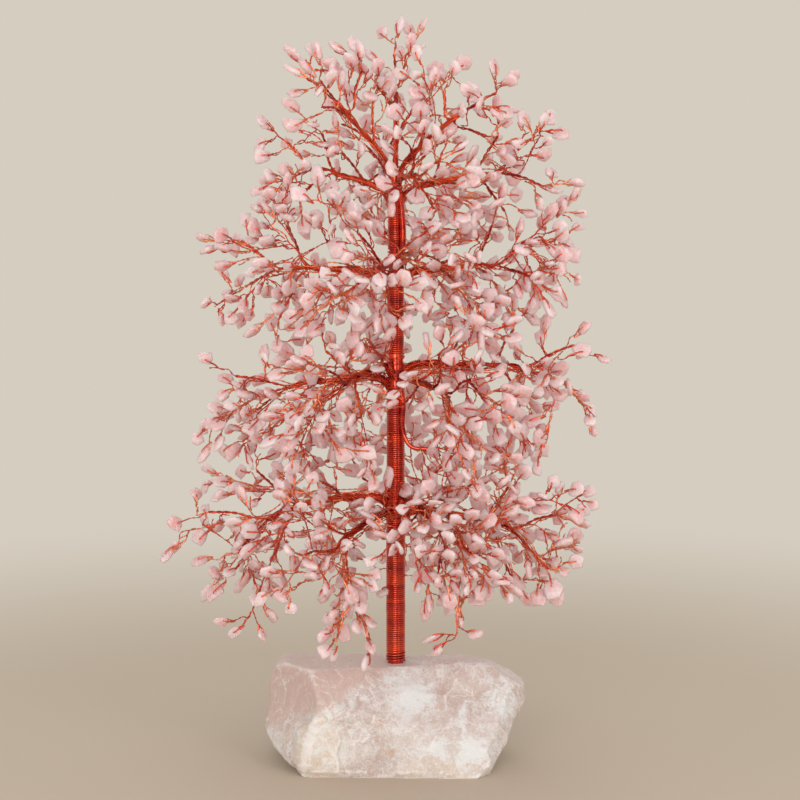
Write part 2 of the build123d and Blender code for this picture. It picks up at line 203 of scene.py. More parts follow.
# Chips
CHIP_GROWTH = 1.03
CHIP_FLATNESS = 0.46
CHIP_CORNERS = 6
CORNER_SHIFT = 0.3
CORNER_REACH = (0.8, 1.22)
CHIP_LEAN = 0.2
CHIP_FACE_SHARE = 0.82
CHIP_CREASE = 0.85
CHIP_SPACE = 8.4 * MM
TIE_WIRE = 0.44 * MM
TIE_STEP = 0.8 * MM
HOLE_PLACE = (0.32, 0.55)

# Sprays: thin pairs of wires with more twigs and chips on them
TIER_SPRAYS = {"lowest": 13, "lower": 7, "middle": 9, "upper": 1, "crown": 1}
MORE_SPRAYS = {"lower_right": 5, "lowest_right": 6, "lower_left": 4, "middle_left": 4, "middle_right": 5}
MORE_SPRAYS |= {"lowest_left": 4, "upper_right": 2, "upper_left": 1}
SPRAY_TRIES = 120
SPRAY_OPTIONS = 10
SPRAY_LENGTHS_MM = (18.0, 38.0)
SPRAY_CLEARANCE = 14 * MM
SHORT_SPRAYS = 0.3
SPRAY_LOOSENESS = 1.8 * MM
LEAF_PLACES = (0.4, 0.65, 0.85, 1.0, 1.0)
LEAF_TRIES = 4
LEAF_LENGTHS_MM = (8.0, 14.0)
LEAF_GROWTH = (0.75, 1.12)
LEAF_CLEARANCE = 11 * MM
SPRAY_LEAN = {"lowest": -0.15, "lower": -0.6, "middle": -0.3, "upper": -0.1, "crown": 0.25}

# The canopy's reach at some heights, in mm
REACH_HEIGHTS = MM * np.array([74, 84, 100, 122, 150, 185, 222, 248, 275, 306, 330, 352, 376, 398, 424])
REACH_LEFT = MM * np.array([110, 128, 132, 132, 122, 116, 112, 98, 116, 100, 84, 62, 66, 66, 30])
REACH_RIGHT = MM * np.array([66, 80, 98, 106, 122, 110, 130, 94, 102, 106, 106, 102, 82, 40, 36])
DEPTH_SHARE = 0.82

# Places between the tiers that stay open, in mm: left, right, bottom and top
OPEN_PLACES = MM * np.array([(-50, -8, 289, 305), (-60, -24, 238, 253), (6, 66, 235, 250)])

# Stretches of the trunk that show from in front, in mm: bottom and top
BARE_TRUNK = MM * np.array([(60, 138), (166, 216), (234, 246), (262, 278), (292, 332)])
BARE_WIDTH = 12 * MM


def pigment(red, green, blue):
    """A colour written in screen values, as the light values that a shader takes"""
    shares = [value / 255 for value in (red, green, blue)]
    light = [share / 12.92 if share < 0.04045 else ((share + 0.055) / 1.055) ** 2.4 for share in shares]
    return (*light, 1.0)


# Stage
ROOM_COLOUR = pigment(213, 205, 192)
ROOM_LIGHT = (1.0, 0.985, 0.96, 1.0)
ROOM_STRENGTH = 0.76
FLOOR_COLOUR = pigment(196, 181, 162)
FLOOR_SIZE = 8.0
FLOOR_FADE = (0.25, 0.8)
CAMERA_AIM = Vector((0.0025, 0.0, 0.21))
CAMERA_ELEVATION = math.radians(7.5)
CAMERA_DISTANCE = 1.3
CAMERA_SENSOR = 36
CAMERA_LENS = 102.6
LAMP_AIM = Vector((0, 0, 0.2))

# Lamps: name, place, size and power in watts
LAMPS = [
    ("key", (0.85, -1.1, 0.5), (0.32, 1.5), 4.6),
    ("fill", (-0.3, -1.5, 0.42), (1.0, 1.0), 10.4),
    ("back", (-0.3, 1.1, 1.2), (0.9, 0.9), 1.5),
]


class Dye:
    """A socket among a finish's nodes, on which sums add more nodes"""

    def __init__(self, tree, socket):
        self.tree = tree
        self.socket = socket

    def make(self, kind, settings=None, values=None, give=0):
        """Adds a node with its settings, and the values or links of its sockets"""
        node = self.tree.nodes.new(kind)
        for name, setting in (settings or {}).items():
            setattr(node, name, setting)
        for name, value in (values or {}).items():
            if isinstance(value, Dye):
                self.tree.links.new(value.socket, node.inputs[name])
            else:
                node.inputs[name].default_value = value
        return Dye(self.tree, node.outputs[give])

    def reckon(self, operation, first, second):
        return self.make("ShaderNodeMath", {"operation": operation}, {0: first, 1: second})

    def __add__(self, other):
        return self.reckon("ADD", self, other)

    __radd__ = __add__

    def __sub__(self, other):
        return self.reckon("SUBTRACT", self, other)

    def __rsub__(self, other):
        return self.reckon("SUBTRACT", other, self)

    def __mul__(self, other):
        return self.reckon("MULTIPLY", self, other)

    __rmul__ = __mul__

    def clipped(self, low, high):
        """The value stretched from a range to 0 and 1"""
        limits = {"From Min": low, "From Max": high, "Value": self}
        return self.make("ShaderNodeMapRange", {"interpolation_type": "SMOOTHSTEP"}, limits)

    def between(self, first, second):
        """A colour between two, by this value"""
        settings = {"data_type": "RGBA"}
        return self.make("ShaderNodeMix", settings, {0: self, 6: first, 7: second}, give=2)

    def cloud(self, scale, detail=3.0, rough=0.5, warp=0.0):
        """A noise pattern read at this place"""
        values = {"Vector": self, "Scale": scale, "Detail": detail, "Roughness": rough, "Distortion": warp}
        return self.make("ShaderNodeTexNoise", None, values)

    def cracks(self, scale):
        """How far this place is from the walls between cells"""
        settings = {"feature": "DISTANCE_TO_EDGE"}
        return self.make("ShaderNodeTexVoronoi", settings, {"Vector": self, "Scale": scale})

    def mark(self, name):
        """A value that each vertex of the mesh carries"""
        return self.make("ShaderNodeAttribute", {"attribute_name": name}, give=2)

    def shift(self, operation, *values, give=0):
        """A sum on places"""
        return self.make("ShaderNodeVectorMath", {"operation": operation}, dict(enumerate(values)), give)

    def distance_to(self, point):
        """How far this place is from a point"""
        return self.shift("DISTANCE", self, point, give=1)

    def stretched(self, shares):
        """This place with each coordinate multiplied by its share"""
        return self.shift("MULTIPLY", self, shares)

    def patch(self, centre, sizes, core=0.35):
        """One in the middle of a rounded patch, and zero beyond its edge"""
        shares = tuple(1 / size for size in sizes)
        middle = tuple(part * share for part, share in zip(centre, shares))
        return 1 - self.stretched(shares).distance_to(middle).clipped(core, 1.0)

    def warped(self, scale, amount):
        """This place shifted to and fro by a noise pattern"""
        values = {"Vector": self, "Scale": scale, "Detail": 4.0}
        pattern = self.make("ShaderNodeTexNoise", None, values, give=1)
        moved = self.shift("MULTIPLY_ADD", pattern, (amount,) * 3, self)
        return self.shift("SUBTRACT", moved, (amount / 2,) * 3)

    def along(self, axis):
        """One of this place's three coordinates"""
        return self.make("ShaderNodeSeparateXYZ", None, {0: self}, give=axis)

    def bump(self, height, strength, distance):
        """A surface direction tilted by a height pattern"""
        values = {"Height": height, "Strength": strength, "Distance": distance}
        return self.make("ShaderNodeBump", None, values)

    def end_in(self, kind):
        """Links this shader to an output"""
        output = self.tree.nodes.new(kind)
        self.tree.links.new(self.socket, output.inputs["Surface"])


def new_finish(name):
    """An empty material, and the place on the object that its patterns read"""
    finish = bpy.data.materials.new(name)
    finish.use_nodes = True
    tree = finish.node_tree
    tree.nodes.clear()
    start = Dye(tree, None)
    return finish, start.make("ShaderNodeTexCoord", give=3)


def coat_with(place, values):
    """Ends a material in one shader with these values"""
    place.make("ShaderNodeBsdfPrincipled", None, values).end_in("ShaderNodeOutputMaterial")


def layered(body, layers):
    """A colour with others laid over it, each by its share"""
    for share, colour in layers:
        body = share.between(body, pigment(*colour))
    return body


def enamelled_copper(name, deep, bright, gloss, dullness, lay=(1.0, 1.0, 1.0)):
    """Copper wire under red enamel: the colour drifts from deep to bright along the lay, with worn patches"""
    finish, place = new_finish(name)
    drift = place.stretched(lay).cloud(42.0, 3.0, 0.6).clipped(0.36, 0.66)
    grain = place.stretched(lay).cloud(900.0, 2.0)
    wear = place.cloud(260.0, 3.0).clipped(0.58, 0.72)
    colour = drift.between(deep, bright)
    values = {
        "Base Color": (wear * 0.3).between(colour, pigment(206, 92, 50)),
        "Roughness": dullness * (1 + drift + 0.6 * grain),
        "Metallic": 0.97 - 0.2 * wear,
        "Coat Weight": gloss,
        "Coat Roughness": 0.06,
        "Coat IOR": 1.6,
        "Normal": place.bump(grain, 0.12, 0.1 * MM),
    }
    coat_with(place, values)
    return finish


def rose_chips():
    """Tumbled rose quartz: cloudy, paler or dustier from chip to chip, with a soft light inside"""
    finish, place = new_finish("tumbled_rose_quartz")
    tone = place.mark("tone")
    cloud = place.cloud(150.0, 4.0, 0.55, 0.4)
    milk = place.cloud(420.0, 4.0, 0.65).clipped(0.48, 0.64)
    dusk = place.cloud(250.0, 4.0, 0.65, 0.5).clipped(0.52, 0.68)
    flaw = 1 - place.cracks(230.0).clipped(0.0, 0.06)
    body = tone.between(pigment(233, 176, 175), pigment(246, 210, 210))
    layers = [
        (cloud.clipped(0.38, 0.62) * 0.5, (240, 198, 198)),
        (dusk * 0.35, (222, 158, 156)),
        (milk * 0.5, (250, 232, 231)),
        (flaw * 0.25, (252, 238, 236)),
    ]
    values = {
        "Base Color": layered(body, layers),
        "Roughness": 0.3 + 0.25 * cloud,
        "IOR": 1.5,
        "Subsurface Weight": 0.85,
        "Subsurface Radius": (1.0, 0.75, 0.7),
        "Subsurface Scale": 7 * MM,
        "Transmission Weight": 0.1,
        "Normal": place.bump(cloud + 0.4 * milk - 0.3 * dusk, 0.35, 0.4 * MM),
    }
    coat_with(place, values)
    return finish


def rough_quartz():
    """Rough rose quartz: a clear pink face, crushed white grain, a creamy lump, brown spots, a pale broken
    edge, a painted highlight along ridges and a painted paler top
    """
    finish, place = new_finish("rough_rose_quartz")
    ridge, upward = place.mark("ridge"), place.mark("upward")
    bent = place.warped(60.0, 0.014)
    torn = bent.warped(240.0, 0.005)
    across, height = torn.along(0), torn.along(2)
    slope = height - CLEAR_SLOPE * across
    clear_face = slope.clipped(0.05, 0.064) * (0.004 - across).clipped(0.0, 0.014)
    broken_edge = slope.clipped(0.044, 0.052) * (1 - slope.clipped(0.054, 0.062))
    broken_edge = broken_edge * (0.02 - across).clipped(0.0, 0.02) * (across + 0.058).clipped(0.0, 0.016)
    patches = place.cloud(110.0, 9.0, 0.8, 0.8)
    streaks = torn.stretched((1.0, 1.0, 0.22)).cloud(330.0, 4.0, 0.6)
    spots = {name: (bent if "cream" in name else torn).patch(*patch) for name, patch in STONE_PATCHES.items()}
    white = 1.4 * spots["white_middle"] + spots["white_corner"] * streaks.clipped(0.36, 0.58)
    white = white + spots["white_foot"] + 0.5 * broken_edge * patches.clipped(0.42, 0.56)
    white = white + spots["white_spot"] + 0.8 * spots["white_vein"]
    gravel = spots["gravel"]
    cream = spots["cream_lump"] + 0.6 * spots["cream_foot"]
    brown = spots["brown_low"] + spots["brown_high"]
    broad = place.cloud(30.0, 5.0, 0.6, 0.6)
    grain = place.cloud(300.0, 7.0, 0.76, 0.4)
    crystals = torn.cracks(420.0).clipped(0.0, 0.35)
    specks = place.cloud(1000.0, 4.0, 0.75).clipped(0.56, 0.62)
    hair = (1 - torn.cracks(70.0).clipped(0.0, 0.04)) * place.cloud(45.0).clipped(0.46, 0.56)
    hair = hair + 0.7 * (1 - torn.cracks(190.0).clipped(0.0, 0.06)) * place.cloud(110.0).clipped(0.5, 0.6)
    body = broad.clipped(0.36, 0.64).between(pigment(192, 168, 158), pigment(209, 195, 186))
    crushed = 0.5 * patches + 0.4 * grain + 0.05 + 0.12 * white - 0.12 * clear_face - 0.07 * spots["facet"]
    crushed = crushed.clipped(0.46, 0.61)
    layers = [
        (clear_face * 0.85, (203, 171, 161)),
        # Painted light: faces that look up are painted paler, as if lit from above
        (upward.clipped(0.5, 0.95) * 0.6, (226, 205, 197)),
        (streaks.clipped(0.42, 0.66) * 0.35, (221, 203, 196)),
        (cream.clipped(0.0, 1.0) * 0.75, (218, 201, 180)),
        (crushed * 0.88, (229, 231, 230)),
        (brown * grain.clipped(0.35, 0.6) * 0.8, (191, 153, 125)),
        (gravel * (1 - crystals) * 0.7, (189, 166, 155)),
        (grain.clipped(0.56, 0.7) * (0.4 - 0.2 * clear_face), (195, 161, 149)),
        (hair * 0.6, (237, 232, 228)),
        # Painted highlight: crests that stand above their neighbours are painted near white
        (ridge.clipped(0.12, 0.6) * 0.55, (241, 237, 234)),
        (specks * 0.55 * (1 - 0.7 * clear_face), (245, 243, 241)),
    ]
    values = {
        "Base Color": layered(body, layers),
        "Roughness": 0.22 + 0.3 * crushed + 0.14 * grain,
        "IOR": 1.54,
        "Subsurface Weight": 0.3,
        "Subsurface Radius": (1.0, 0.6, 0.5),
        "Subsurface Scale": 3.5 * MM,
        "Normal": place.bump(0.8 * patches + grain + 0.5 * gravel * crystals - 0.2 * hair, 0.7, 0.7 * MM),
    }
    coat_with(place, values)
    return finish


def set_adhesive():
    """Clear glue, yellowed a little and dusty"""
    finish, place = new_finish("clear_set_adhesive")
    dust = place.cloud(500.0, 3.0)
    values = {
        "Base Color": dust.between(pigment(214, 190, 170), pigment(236, 224, 210)),
        "Roughness": 0.12 + 0.3 * dust,
        "Subsurface Weight": 0.3,
        "Subsurface Scale": 1 * MM,
        "Normal": place.bump(dust, 0.2, 0.2 * MM),
    }
    coat_with(place, values)
    return finish


def pale_floor():
    """Plain warm floor that runs into the pale surroundings"""
    finish, place = new_finish("pale_floor")
    values = {"Base Color": FLOOR_COLOUR, "Roughness": 0.8}
    near = place.make("ShaderNodeBsdfPrincipled", None, values)
    far = place.make("ShaderNodeEmission", None, {"Color": ROOM_COLOUR, "Strength": 1.0})
    share = place.shift("LENGTH", place, give=1).clipped(*FLOOR_FADE)
    place.make("ShaderNodeMixShader", None, {0: share, 1: near, 2: far}).end_in("ShaderNodeOutputMaterial")
    return finish


# On the trunk the colour drift is stretched along the height into horizontal bands: the enamel's own drift,
# with the darker bands partly painted shade for the grooves between groups of turns
TRUNK_FINISH = enamelled_copper(
    "crimson_enamelled_wire", pigment(176, 20, 5), pigment(234, 75, 26), 0.75, 0.065, (0.2, 0.2, 3.0)
)
LIMB_FINISH = enamelled_copper("maroon_enamelled_wire", pigment(168, 38, 20), pigment(222, 86, 44), 0.3, 0.13)
# The twigs' wire is the same enamelled wire, painted lighter and more orange to stand in for the light that
# thin wires catch; its bright colour is a painted highlight
TWIG_FINISH = enamelled_copper(
    "orange_red_enamelled_wire", pigment(224, 74, 42), pigment(255, 154, 106), 0.65, 0.13
)
CHIP_FINISH = rose_chips()
STONE_FINISH = rough_quartz()
ADHESIVE_FINISH = set_adhesive()


def let_go():
    """Deselects everything, so that an operator acts on one piece only"""
    bpy.ops.object.select_all(action="DESELECT")


def take(piece):
    """Makes a piece the only selected one"""
    let_go()
    piece.select_set(True)
    bpy.context.view_layer.objects.active = piece


def keep(piece, finish, slot, *nodes):
    """Gives a finished piece its material and its body, and hides the nodes that it stands for"""
    piece.data.materials.clear()
    piece.data.materials.append(finish)
    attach(piece, "root")
    if nodes:
        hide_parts(*nodes)


def put(name, data):
    """A new piece in the scene, made of a mesh or of curves"""
    piece = bpy.data.objects.new(name, data)
    bpy.context.collection.objects.link(piece)
    return piece


def unit(way):
    return way / np.linalg.norm(way)


def merged_copy(node):
    """A copy of a node's mesh, with the corners that lie together joined"""
    mesh = bmesh.new()
    mesh.from_mesh(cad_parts[node].data)
    bmesh.ops.remove_doubles(mesh, verts=mesh.verts, dist=JOIN)
    return mesh


def separate_solids(mesh):
    """The vertices of each separate solid of a mesh"""
    seen = set()
    solids = []
    for first in mesh.verts:
        if first in seen:
            continue
        seen.add(first)
        solid = [first]
        for vertex in solid:
            for edge in vertex.link_edges:
                other = edge.other_vert(vertex)
                if other not in seen:
                    seen.add(other)
                    solid.append(other)
        solids.append(solid)
    return solids


class Rod:
    """A straight wire of the frame, from its foot to its end"""

    def __init__(self, corners):
        centre = corners.mean(axis=0)
        axis = np.linalg.svd(corners - centre)[2][0]
        order = np.argsort((corners - centre) @ axis)
        self.sides = len(order) // 2
        rings = [corners[order[: self.sides]], corners[order[self.sides :]]]
        spreads = [np.linalg.norm(ring - ring.mean(axis=0), axis=1).mean() for ring in rings]
        wide = int(spreads[1] > spreads[0])
        self.foot = rings[wide].mean(axis=0)
        self.end = rings[1 - wide].mean(axis=0)
        self.way = unit(self.end - self.foot)
        self.length = np.linalg.norm(self.end - self.foot)

    def at(self, share):
        return self.foot + (self.end - self.foot) * share

    def distance(self, point):
        share = np.clip((point - self.foot) @ self.way / self.length, 0, 1)
        return np.linalg.norm(point - self.at(share)), share


def corners_of(node):
    """The corners of each separate solid of a node"""
    mesh = merged_copy(node)
    solids = [np.array([vertex.co[:] for vertex in solid]) for solid in separate_solids(mesh)]
    mesh.free()
    return solids


def rods_of(node):
    return [Rod(corners) for corners in corners_of(node)]


class Nugget:
    """A chip's corners, measured from its seat across, through and along it"""

    def __init__(self, seat, axes, corners):
        self.seat = seat
        self.axes = axes
        self.corners = corners
        self.length = corners[:, 2].max()
        self.thickness = corners[:, 1].max() - corners[:, 1].min()

    def flake(self):
        """A flat chip in place of these corners: a polygon with a thin rim and two leaning faces"""
        half_width = np.ptp(self.corners[:, 0]) / 2 * CHIP_GROWTH
        half_length = self.length / 2 * CHIP_GROWTH
        half_thickness = self.thickness / 2 * CHIP_FLATNESS
        start = draw.uniform(0, FULL_TURN)
        shifts = [draw.uniform(-CORNER_SHIFT, CORNER_SHIFT) for _ in range(CHIP_CORNERS)]
        turns = [start + FULL_TURN * (k + shift) / CHIP_CORNERS for k, shift in enumerate(shifts)]
        reach = np.array([draw.uniform(*CORNER_REACH) for _ in turns])
        rim = np.column_stack([np.cos(turns) * reach * half_width, np.sin(turns) * reach * half_length])
        rings = []
        for side in (1, 0, -1):
            lean = np.array([draw.gauss(0, CHIP_LEAN) / half for half in (half_width, half_length)])
            share = CHIP_FACE_SHARE if side else 1.0
            heights = side * half_thickness * (1 + rim @ lean)
            rings.append(np.column_stack([rim[:, 0] * share, heights, rim[:, 1] * share]))
        corners = np.vstack(rings) + [self.corners[:, 0].mean(), 0, self.length / 2]
        return self.seat + corners @ self.axes

    def centre(self):
        return self.seat + self.corners.mean(axis=0) @ self.axes


def flake_faces():
    """The faces of a flake by its corners' numbers: its two sides, and two rows round its rim"""
    count = CHIP_CORNERS
    faces = [list(range(count))[::-1], list(range(2 * count, 3 * count))]
    for row in range(2):
        for k in range(count):
            near, far = row * count + k, row * count + (k + 1) % count
            faces.append([near, far, far + count, near + count])
    return faces


def frame_about(axis, side):
    """Three square ways: side, across, and along the axis"""
    along = unit(axis)
    side = unit(side - along * (side @ along))
    return np.array([side, np.cross(along, side), along])


def nuggets_of(node, twig_ends):
    """Each chip of a node, read about the end of the twig that carries it"""
    mesh = merged_copy(node)
    bmesh.ops.dissolve_limit(mesh, angle_limit=math.radians(1), verts=mesh.verts, edges=mesh.edges)
    nuggets = []
    for solid in separate_solids(mesh):
        corners = np.array([vertex.co[:] for vertex in solid])
        faces = list(dict.fromkeys(face for vertex in solid for face in vertex.link_faces))
        middles = np.array([np.mean([vertex.co[:] for vertex in face.verts], axis=0) for face in faces])
        gaps = np.linalg.norm(middles[:, None] - twig_ends[None], axis=2).min(axis=1)
        seat = middles[gaps.argmin()]
        axis = unit(corners.mean(axis=0) - seat)
        flat = corners - corners.mean(axis=0)
        flat = flat - np.outer(flat @ axis, axis)
        wide = np.linalg.svd(flat)[2][0]
        axes = frame_about(axis, wide)
        nuggets.append(Nugget(seat, axes, (corners - seat) @ axes.T))
    mesh.free()
    return nuggets


def reach_to(knots):
    """How far each knot lies from the first, from knot to knot"""
    return np.concatenate([[0.0], np.cumsum(np.linalg.norm(np.diff(knots, axis=0), axis=1))])


def bent_line(knots, step):
    """A smooth line through its knots, with a point at every step"""
    knots = np.asarray(knots, dtype=float)
    reach = reach_to(knots)
    slopes = np.gradient(knots, reach, axis=0)
    places = np.linspace(0.0, reach[-1], max(3, round(reach[-1] / step) + 1))
    index = np.clip(np.searchsorted(reach, places, side="right") - 1, 0, len(knots) - 2)
    span = (reach[index + 1] - reach[index])[:, None]
    share = (places - reach[index])[:, None] / span
    rest = 1 - share
    start = (1 + 2 * share) * rest**2 * knots[index] + share * rest**2 * span * slopes[index]
    end = share**2 * (3 - 2 * share) * knots[index + 1] - share**2 * rest * span * slopes[index + 1]
    return start + end, places


def cross_ways(line, first_way):
    """Two ways across a line at each of its points, that turn no more than the line does"""
    ways = np.gradient(line, axis=0)
    ways = ways / np.linalg.norm(ways, axis=1)[:, None]
    across = []
    last = np.asarray(first_way, dtype=float)
    for way in ways:
        last = unit(last - way * (last @ way))
        across.append(last)
    across = np.array(across)
    return across, np.cross(ways, across)


def coiled(line, ways, turn, room):
    """A line that turns round another one, some way off it"""
    across, over = ways
    return line + across * (np.cos(turn) * room)[:, None] + over * (np.sin(turn) * room)[:, None]


class Wires:
    """Wires laid side by side, which become one mesh"""

    def __init__(self, name, profile=None):
        self.curve = bpy.data.curves.new(name, "CURVE")
        self.curve.dimensions = "3D"
        self.curve.use_fill_caps = True
        self.curve.resolution_u = 1
        self.name = name
        if profile:
            self.curve.bevel_mode = "OBJECT"
            self.curve.bevel_object = profile
        else:
            self.curve.bevel_depth = 1.0
            self.curve.bevel_resolution = STRAND_SIDES_RESOLUTION

    def lay(self, line, radius, tilt=None):
        spline = self.curve.splines.new("POLY")
        spline.points.add(len(line) - 1)
        spline.points.foreach_set("co", np.column_stack([line, np.ones(len(line))]).ravel())
        spline.points.foreach_set("radius", np.broadcast_to(radius, len(line)).copy())
        if tilt is not None:
            spline.points.foreach_set("tilt", tilt)
        spline.use_smooth = True

    def mesh(self):
        take(put(self.name, self.curve))
        bpy.ops.object.convert(target="MESH")
        return bpy.context.object


def flat_profile(name, points):
    """The flat outline of two wires twisted together"""
    curve = bpy.data.curves.new(name, "CURVE")
    curve.dimensions = "2D"
    spline = curve.splines.new("POLY")
    spline.points.add(len(points) - 1)
    for point, (x, y) in zip(spline.points, points):
        point.co = (x, y, 0.0, 1.0)
    spline.use_cyclic_u = True
    return put(name, curve)


limb_names = [name[len("limb_") :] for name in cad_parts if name.startswith("limb_")]
tiers = ["lowest", "lower", "middle", "upper", "crown"]
twigs = {tier: rods_of("twigs_" + tier) for tier in tiers}
twig_ends = np.array([twig.end for tier in tiers for twig in twigs[tier]])
nuggets = {name: nuggets_of("chips_" + name, twig_ends) for name in limb_names}
shapes = [nugget for name in limb_names for nugget in nuggets[name]]


def tier_of(name):
    """The tier that a limb's name starts with"""
    return name.split("_")[0]


def limbs_in(tier):
    return [name for name in limb_names if tier_of(name) == tier]


def upright(value):
    return np.array([0.0, 0.0, value])


def scattered(spread):
    return np.array([draw.gauss(0, spread) for _ in range(3)])


class Limb:
    """A limb's stems and boughs, in the order that they leave the trunk"""

    def __init__(self, name):
        self.name = name
        rods = rods_of("limb_" + name)
        stems = [rod for rod in rods if rod.sides == STEM_SIDES]
        self.boughs = [rod for rod in rods if rod.sides == BOUGH_SIDES]
        self.stems = sorted(stems, key=lambda stem: np.hypot(stem.foot[0], stem.foot[1]))
        self.is_leader = name.startswith("crown")

    def root_knots(self):
        """Where the bundle comes out of the trunk and bends into the first stem"""
        stem = self.stems[0]
        out = np.array([stem.way[0], stem.way[1], 0.0])
        out = unit(out) if np.linalg.norm(out) > JOIN else np.array([1.0, 0.0, 0.0])
        foot = stem.foot
        if self.is_leader:
            return [foot - upright(drop) for drop in LEADER_DROPS]
        trunk = upright(foot[2])
        return [trunk + out * reach * MM - upright(drop * MM) for reach, drop in ROOT_KNOTS_MM]

    def stem_knots(self):
        first, second = self.stems
        bow = upright(STEM_BOW)
        knots = [first.at(0.1), first.at(0.5) + bow, first.at(0.92)]
        return knots + [second.at(0.12), second.at(0.55) + bow, second.end]

    def way_to(self, carrier, share):
        """Knots along the limb from the trunk to a place on one of its stems or boughs"""
        if any(carrier is bough for bough in self.boughs):
            knots, _ = self.bough_knots(carrier)
            return knots[:-2] + [carrier.at(place) for place in (0.35, 0.65) if place < share - 0.1]
        first, second = self.stems
        knots = self.root_knots() + [first.at(0.1), first.at(0.5), first.at(0.92)]
        return knots + [second.at(place) for place in (0.12, 0.5) if place < share - 0.15]

    def bough_knots(self, bough):
        """The way of a strand from the trunk along the stems and out along a bough"""
        best = min(self.stems, key=lambda stem: stem.distance(bough.foot)[0])
        share = best.distance(bough.foot)[1]
        first, second = self.stems
        knots = self.root_knots()
        bow = upright(STEM_BOW)
        if best is first:
            shares = [place for place in (0.1, 0.5) if place < share - 0.15]
            knots += [first.at(place) + bow * (place > 0.2) for place in shares]
        else:
            knots += [first.at(0.1), first.at(0.5) + bow, first.at(0.92)]
            shares = [place for place in (0.12, 0.55) if place < share - 0.2]
            knots += [second.at(place) + bow * (place > 0.2) for place in shares]
        leave = len(knots)
        lift = unit(np.cross(bough.way, [0.3, 0.2, 1.0])) * draw.uniform(-1.3, 1.3) * MM
        lift = lift + upright(draw.uniform(0.2, 1.6) * MM)
        knots += [best.at(max(share - 4 * MM / best.length, 0.02)), bough.foot + bough.way * 3 * MM]
        knots += [bough.at(0.55) + lift, bough.end]
        return knots, leave


limbs = {name: Limb(name) for name in limb_names}


def wind_along(wires, knots, room, first_share, last_share):
    """A fine wire wound round a bundle from one share of its length to another"""
    line, places = bent_line(knots, LIMB_WINDING_PITCH / LIMB_WINDING_STEPS)
    strand = coiled(line, cross_ways(line, (0.3, 0.2, 1.0)), FULL_TURN * places / LIMB_WINDING_PITCH, room)
    first, last = [np.searchsorted(places, places[-1] * share) for share in (first_share, last_share)]
    wires.lay(strand[first:last], LIMB_WINDING_WIRE)


def bundle_limb(limb):
    """Strands run together along a limb and leave it two by two, one pair to each bough"""
    wires = Wires("bundled_limb_" + limb.name)
    scale = BUNDLE_SCALES[tier_of(limb.name)]
    number = 0
    for bough in limb.boughs:
        knots, leave = limb.bough_knots(bough)
        line, places = bent_line(knots, LINE_STEP)
        gone = np.clip((places - reach_to(knots)[leave]) / LEAVING_LENGTH, 0, 1)
        gone = gone * gone * (3 - 2 * gone)
        ways = cross_ways(line, (1.0, 0.0, 0.0) if limb.is_leader else (0.0, 0.0, 1.0))
        start = draw.uniform(0, FULL_TURN)
        for side in range(2):
            ring, angle = BUNDLE_SEATS[number % len(BUNDLE_SEATS)]
            number += 1
            turn = (angle + FULL_TURN * places / BUNDLE_TURN) * (1 - gone)
            turn = turn + gone * (start + math.pi * side + FULL_TURN * places / PAIR_TURN)
            wander = 1 + BUNDLE_LOOSENESS * np.sin(FULL_TURN * (places / LOOSE_WAVE + draw.random()))
            room = ring * scale * wander * (1 - BUNDLE_TAPER * places / places[-1])
            room = room * (1 - gone) + PAIR_RING * gone
            wires.lay(coiled(line, ways, turn, room), STRAND * (1 - PAIR_TAPER * gone))
    if not limb.is_leader:
        room = BUNDLE_RINGS[0][0] * scale + STRAND
        wound_to = draw.uniform(*WOUND_TO) + WOUND_FURTHER.get(tier_of(limb.name), 0.0)
        wind_along(wires, limb.root_knots()[1:] + limb.stem_knots()[:4], room, WOUND_FROM, wound_to)
    keep(wires.mesh(), LIMB_FINISH, "copper_wire", "limb_" + limb.name)


def twig_knots(foot, way, end, back):
    """A twig leaves its carrier gently and bows on its way to the chip"""
    span = end - foot
    length = np.linalg.norm(span)
    bows = []
    for _ in range(2):
        side = np.cross(span / length, unit(scattered(1.0)))
        bows.append(side * draw.uniform(*TWIG_BOW) * length)
    bends = [foot + span * 0.36 + bows[0], foot + span * 0.68 + bows[1]]
    return [foot - way * back, foot + way * 0.5 * MM + span * 0.08, *bends, end]


def lay_twig(wires, knots):
    line, places = bent_line(knots, TWIG_STEP)
    turn = FULL_TURN * places / TWIG_TURN + draw.uniform(0, math.pi)
    wires.lay(line, np.linspace(1.0, TWIG_TAPER, len(line)), turn)


def lay_prong(wires, foot, end):
    """A short wire end that forks off a twig"""
    if draw.random() < PRONG_CHANCE:
        span = end - foot
        fork = foot + span * draw.uniform(*PRONG_FORK)
        way = unit(unit(span) + scattered(0.45))
        tip = fork + way * draw.uniform(*PRONG_LENGTHS_MM) * MM
        bend = (fork + tip) / 2 + scattered(0.4 * MM)
        lay_twig(wires, [fork - unit(span) * 1.5 * MM, fork + way * 1.5 * MM, bend, tip])


def canopy_allows(point):
    """Whether a place lies within the canopy's outline, and not where the tree stays open"""
    reach = np.interp(point[2], REACH_HEIGHTS, REACH_LEFT if point[0] < 0 else REACH_RIGHT)
    depth = np.interp(point[2], REACH_HEIGHTS, (REACH_LEFT + REACH_RIGHT) / 2) * DEPTH_SHARE
    is_level = REACH_HEIGHTS[0] < point[2] < REACH_HEIGHTS[-1]
    for left, right, bottom, top in OPEN_PLACES:
        if left < point[0] < right and bottom < point[2] < top:
            return False
    is_before_trunk = point[1] < 0 and abs(point[0]) < BARE_WIDTH
    if is_before_trunk and any(low < point[2] < high for low, high in BARE_TRUNK):
        return False
    return is_level and (point[0] / reach) ** 2 + (point[1] / depth) ** 2 < 1


# A twig with a chip on its end: foot, its carrier's way, the chip, and how far it runs back along the carrier
Leaf = namedtuple("Leaf", "foot way nugget back")


